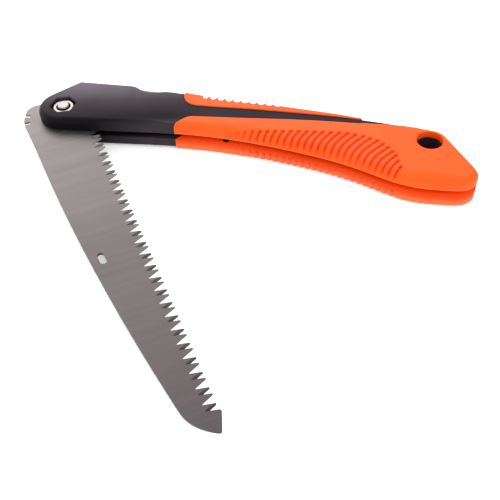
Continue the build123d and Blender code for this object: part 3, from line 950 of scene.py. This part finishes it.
def strip_rim(points):
    """Reach and drop of the spine strip's rim: rounder at its front end."""
    less = (STRIP_FRONT_RIM - STRIP_REAR_RIM) * ease(points[:, 0], *STRIP_RIM_CHANGE)
    return STRIP_FRONT_RIM - less, STRIP_FRONT_RIM - less


def strip_trim(x):
    """How much lower the strip's back lies than the black back in front of it."""
    return STRIP_FRONT_TRIM * (1.0 - ease(x, *STRIP_TRIM_FADE))


def strip_sink(x):
    """How far the strip's end sinks, almost to the level of the stripe."""
    return STRIP_END_SINK * ease(x, *STRIP_SINK_CHANGE)


# Curved grip grooves along the belly, each ending in a round eye. The first ones are shallower.
GROOVE_COUNT = 26
GROOVE_FIRST = 27.5
GROOVE_PITCH = 3.47
GROOVE_TIGHTEN = 0.0063
GROOVE_LEAN = 0.18
GROOVE_BEND = 2.3
GROOVE_TOPS = ((0, 3.3), (3, 6.2), (6, 8.9), (10, 13.2), (15, 18.9), (17, 20.0), (19, 20.1), (21, 18.3),
               (23, 14.9), (25, 8.8))
GROOVE_FOOT = 0.2
GROOVE_FOOT_EASE = 1.2
GROOVE_FRONT_WIDTH = 0.48
GROOVE_REAR_WIDTH = 0.95
GROOVE_FOOT_WIDER = 0.35
GROOVE_TIP = 0.5
GROOVE_DEPTH = 0.8
GROOVE_FOOT_SHARE = 0.4
GROOVE_SWELL = 0.3
GROOVE_FIRST_SHARE = 0.35
GROOVE_FULL_FROM = 4.0
EYE_RADIUS = 1.0
EYE_DEPTH = 0.95
EYE_SETBACK = 0.35
EYE_STEEPNESS = 2.6
FAR_OFF = 6.0


def up_from(share, t):
    """From a share of the whole, where t is 0, to the whole, where it is 1."""
    return share + (1.0 - share) * t


def dip(distance, steepness):
    """1 at the middle of a dip, falling smoothly to 0 past a distance of 1."""
    return np.exp(-np.minimum(distance, FAR_OFF) ** steepness)


def grooves(along, flank_height):
    """Depth of the grip grooves at places along the rim and heights up the flank."""
    numbers, tops = np.array(GROOVE_TOPS, float).T
    depth = np.zeros(len(along))
    for number in range(GROOVE_COUNT):
        top = np.interp(number, numbers, tops)
        foot = GROOVE_FIRST + GROOVE_PITCH * number - GROOVE_TIGHTEN * number ** 2
        climb = np.clip(flank_height / top, 0.0, 1.0)
        off = along - foot - GROOVE_LEAN * top * climb ** GROOVE_BEND
        beyond = np.maximum(flank_height - top, 0.0)
        width = np.where(off < 0, GROOVE_FRONT_WIDTH, GROOVE_REAR_WIDTH)
        width = width * (1.0 + GROOVE_FOOT_WIDER * (1.0 - climb))
        weight = up_from(GROOVE_FIRST_SHARE, min(1.0, number / GROOVE_FULL_FROM))
        above_foot = flank_height - GROOVE_FOOT
        swell = up_from(GROOVE_FOOT_SHARE, ease(above_foot, 0.0, GROOVE_SWELL * top))
        start = ease(above_foot, 0.0, GROOVE_FOOT_EASE)
        trough = GROOVE_DEPTH * swell * start * dip(np.hypot(off / width, beyond / GROOVE_TIP), 2.0)
        eye = EYE_DEPTH * dip(np.hypot(off, flank_height - top + EYE_SETBACK) / EYE_RADIUS, EYE_STEEPNESS)
        depth = np.maximum(depth, weight * np.maximum(trough, eye))
    return depth


build_grip("upper_grip_skin", "upper_grip", "upper_shell", 1, upper_panel_rim, groove=grooves)
build_grip("lower_grip_skin", "lower_grip", "lower_shell", -1, lower_panel_rim, groove=grooves)
build_grip("upper_spine_grip_skin", "upper_spine_grip", "upper_shell", 1, strip_rim,
           trim=strip_trim, sink=strip_sink)
build_grip("lower_spine_grip_skin", "lower_spine_grip", "lower_shell", -1, strip_rim,
           trim=strip_trim, sink=strip_sink)


# ---------------------------------------------------------------- floor, light and camera
FLOOR_HALF = 6.0
FLOOR_GLOW = 0.3
WORLD_STRENGTH = 1.2
CAMERA_OFFSET = Vector((mm(169.1), mm(-280.0), mm(238.9)))
CAMERA_TILT = math.radians(42.0)
CAMERA_ROLL = math.radians(-3.0)
CAMERA_HEADING = math.radians(15.0)
CAMERA_LENS = 54.29
CAMERA_SENSOR = 36.0
CAMERA_CLIP = 0.01


def emission_world():
    """Plain white surroundings."""
    world = bpy.data.worlds.new("studio")
    bpy.context.scene.world = world
    world.use_nodes = True
    background = world.node_tree.nodes["Background"]
    background.inputs["Color"].default_value = (*WHITE, 1.0)
    background.inputs["Strength"].default_value = WORLD_STRENGTH


def floor_plane():
    """Wide sheet of white paper under the saw, with a faint glow of its own."""
    mesh = bpy.data.meshes.new("floor")
    corners = [(x * FLOOR_HALF, y * FLOOR_HALF, 0.0) for x, y in ((-1, -1), (1, -1), (1, 1), (-1, 1))]
    mesh.from_pydata(corners, [], [(0, 1, 2, 3)])
    floor = bpy.data.objects.new("floor", mesh)
    bpy.context.scene.collection.objects.link(floor)
    material, tree, shader = new_material("floor_paper")
    fibre = noise(tree, object_space(tree), 60.0, 4.0)
    tree.links.new(ramp(tree, fibre, ((0.3, 0.88), (0.7, 0.90))), shader.inputs["Base Color"])
    shader.inputs["Roughness"].default_value = 0.8
    shader.inputs["Emission Color"].default_value = (*WHITE, 1.0)
    shader.inputs["Emission Strength"].default_value = FLOOR_GLOW
    mesh.materials.append(material)


def area_light(name, place, size, power):
    """Rectangular light aimed at the middle of the saw."""
    light = bpy.data.lights.new(name, "AREA")
    light.shape = "RECTANGLE"
    light.size, light.size_y = size
    light.energy = power
    holder = bpy.data.objects.new(name, light)
    holder.location = place
    holder.rotation_euler = (-Vector(place)).to_track_quat("-Z", "Y").to_euler()
    bpy.context.scene.collection.objects.link(holder)


def camera():
    """Camera over the front of the saw, looking down and slightly rolled."""
    data = bpy.data.cameras.new("camera")
    data.sensor_width = CAMERA_SENSOR
    data.lens = CAMERA_LENS
    data.clip_start = CAMERA_CLIP
    holder = bpy.data.objects.new("camera", data)
    turn = Matrix.Rotation(CAMERA_HEADING, 4, "Z") @ Matrix.Rotation(CAMERA_TILT, 4, "X")
    turn = turn @ Matrix.Rotation(CAMERA_ROLL, 4, "Z")
    holder.matrix_world = Matrix.Translation(PIVOT + CAMERA_OFFSET) @ turn
    bpy.context.scene.collection.objects.link(holder)
    bpy.context.scene.camera = holder


emission_world()
floor_plane()
area_light("key", place=(-0.5, 0.9, 1.1), size=(1.4, 1.0), power=16.0)
area_light("fill", place=(0.9, -0.8, 1.0), size=(1.0, 1.0), power=6.0)
camera()
bpy.context.scene.view_settings.view_transform = "Standard"
